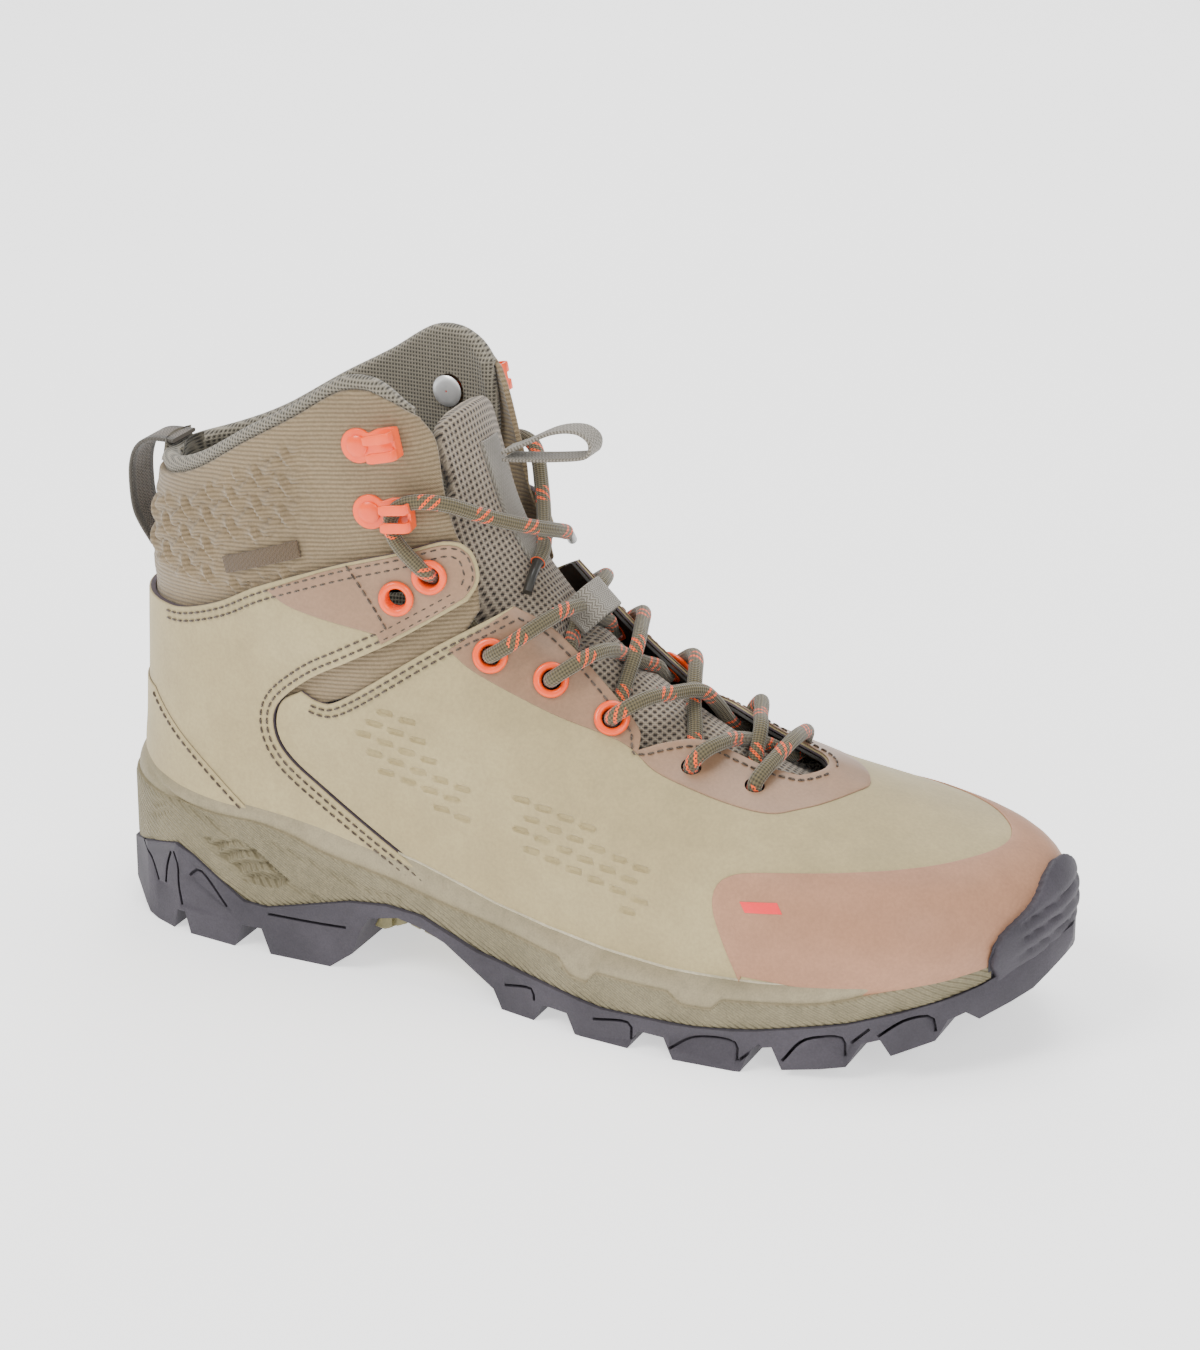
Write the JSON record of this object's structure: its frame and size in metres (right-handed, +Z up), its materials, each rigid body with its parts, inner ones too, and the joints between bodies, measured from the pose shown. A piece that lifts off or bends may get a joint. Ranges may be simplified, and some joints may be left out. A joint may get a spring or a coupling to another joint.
{
  "type": "hiking boot",
  "caption": "Mid-height right hiking boot with lugged rubber sole, rubber toe bumper, nubuck panels, ribbed ankle cuff, speed hooks and threaded lace.",
  "frame": {"origin": "middle of the boot's bounding box, on the ground plane under the lugs", "axes": "+X from heel to toe, +Y to the medial side (the wearer's left), +Z up"},
  "size_m": [0.308, 0.1064, 0.1851],
  "materials": {
    "lace_cord": "round braided polyester with orange flecks",
    "washer_steel": "nickel-plated steel",
    "shank_steel": "spring steel",
    "orange_lacquer": "glossy orange lacquer",
    "nubuck": "matt khaki nubuck",
    "coated_film": "smooth coated tan leather film",
    "ribbed_fabric": "horizontally ribbed polyester",
    "lining_mesh": "brushed mesh over foam",
    "tongue_mesh": "spacer mesh",
    "webbing": "woven polyester webbing",
    "outsole_rubber": "matt carbon rubber with a fine grain",
    "arch_plastic": "moulded olive TPU",
    "midsole_foam": "textured khaki EVA and phylon",
    "fibre_board": "pressed fibre board and stiffener",
    "footbed_foam": "foam with a fabric top"
  },
  "bodies": {
    "boot": {"lace": "lace_cord", "lower_hook_lateral": "orange_lacquer", "lower_hook_rivet_lateral": "orange_lacquer", "lower_hook_washer_lateral": "washer_steel", "lower_hook_medial": "orange_lacquer", "lower_hook_rivet_medial": "orange_lacquer", "lower_hook_washer_medial": "washer_steel", "upper_hook_lateral": "orange_lacquer", "upper_hook_rivet_lateral": "orange_lacquer", "upper_hook_washer_lateral": "washer_steel", "upper_hook_medial": "orange_lacquer", "upper_hook_rivet_medial": "orange_lacquer", "upper_hook_washer_medial": "washer_steel", "eyelet_3_lateral": "orange_lacquer", "eyelet_4_lateral": "orange_lacquer", "eyelet_5_lateral": "orange_lacquer", "eyelet_6_lateral": "orange_lacquer", "eyelet_7_lateral": "orange_lacquer", "eyelet_3_medial": "orange_lacquer", "eyelet_4_medial": "orange_lacquer", "eyelet_5_medial": "orange_lacquer", "eyelet_6_medial": "orange_lacquer", "eyelet_7_medial": "orange_lacquer", "front_quarter_and_vamp": "nubuck", "rear_quarter_lateral": "nubuck", "rear_quarter_medial": "nubuck", "ankle_cuff": "ribbed_fabric", "eyestay_facing": "lining_mesh", "eyestay_overlay": "coated_film", "strap_overlay_lateral": "coated_film", "strap_overlay_medial": "coated_film", "toe_cap_film": "coated_film", "heel_panel": "nubuck", "woven_label": "webbing", "heel_counter": "fibre_board", "toe_puff": "fibre_board", "foot_lining": "lining_mesh", "tongue": "tongue_mesh", "lace_keeper": "webbing", "heel_pull_loop": "webbing", "outsole": "outsole_rubber", "arch_insert": "arch_plastic", "midsole": "midsole_foam", "shank_plate": "shank_steel", "insole_board": "fibre_board"},
    "tongue_top_body": {"tongue_top": "tongue_mesh", "tongue_webbing": "webbing"},
    "pull_loop": {"tongue_pull_loop": "webbing"},
    "footbed_body": {"footbed": "footbed_foam"}
  },
  "joints": [
    {"name": "tongue_fold", "type": "hinge", "parent": "boot", "child": "tongue_top_body", "pos_m": [-0.0276, 0.00175, 0.1476], "axis": [0, 1, 0], "range_deg": [-10, 12], "stiffness_Nm_per_rad": 0.2},
    {"name": "pull_loop_flip", "type": "hinge", "parent": "tongue_top_body", "child": "pull_loop", "pos_m": [-0.0256, 0.00175, 0.1596], "axis": [0, 1, 0], "range_deg": [-60, 35], "stiffness_Nm_per_rad": 0.05},
    {"name": "footbed_lift", "type": "hinge", "parent": "boot", "child": "footbed_body", "pos_m": [0.139, 0.00175, 0.028], "axis": [0, 1, 0], "range_deg": [0, 5]}
  ]
}
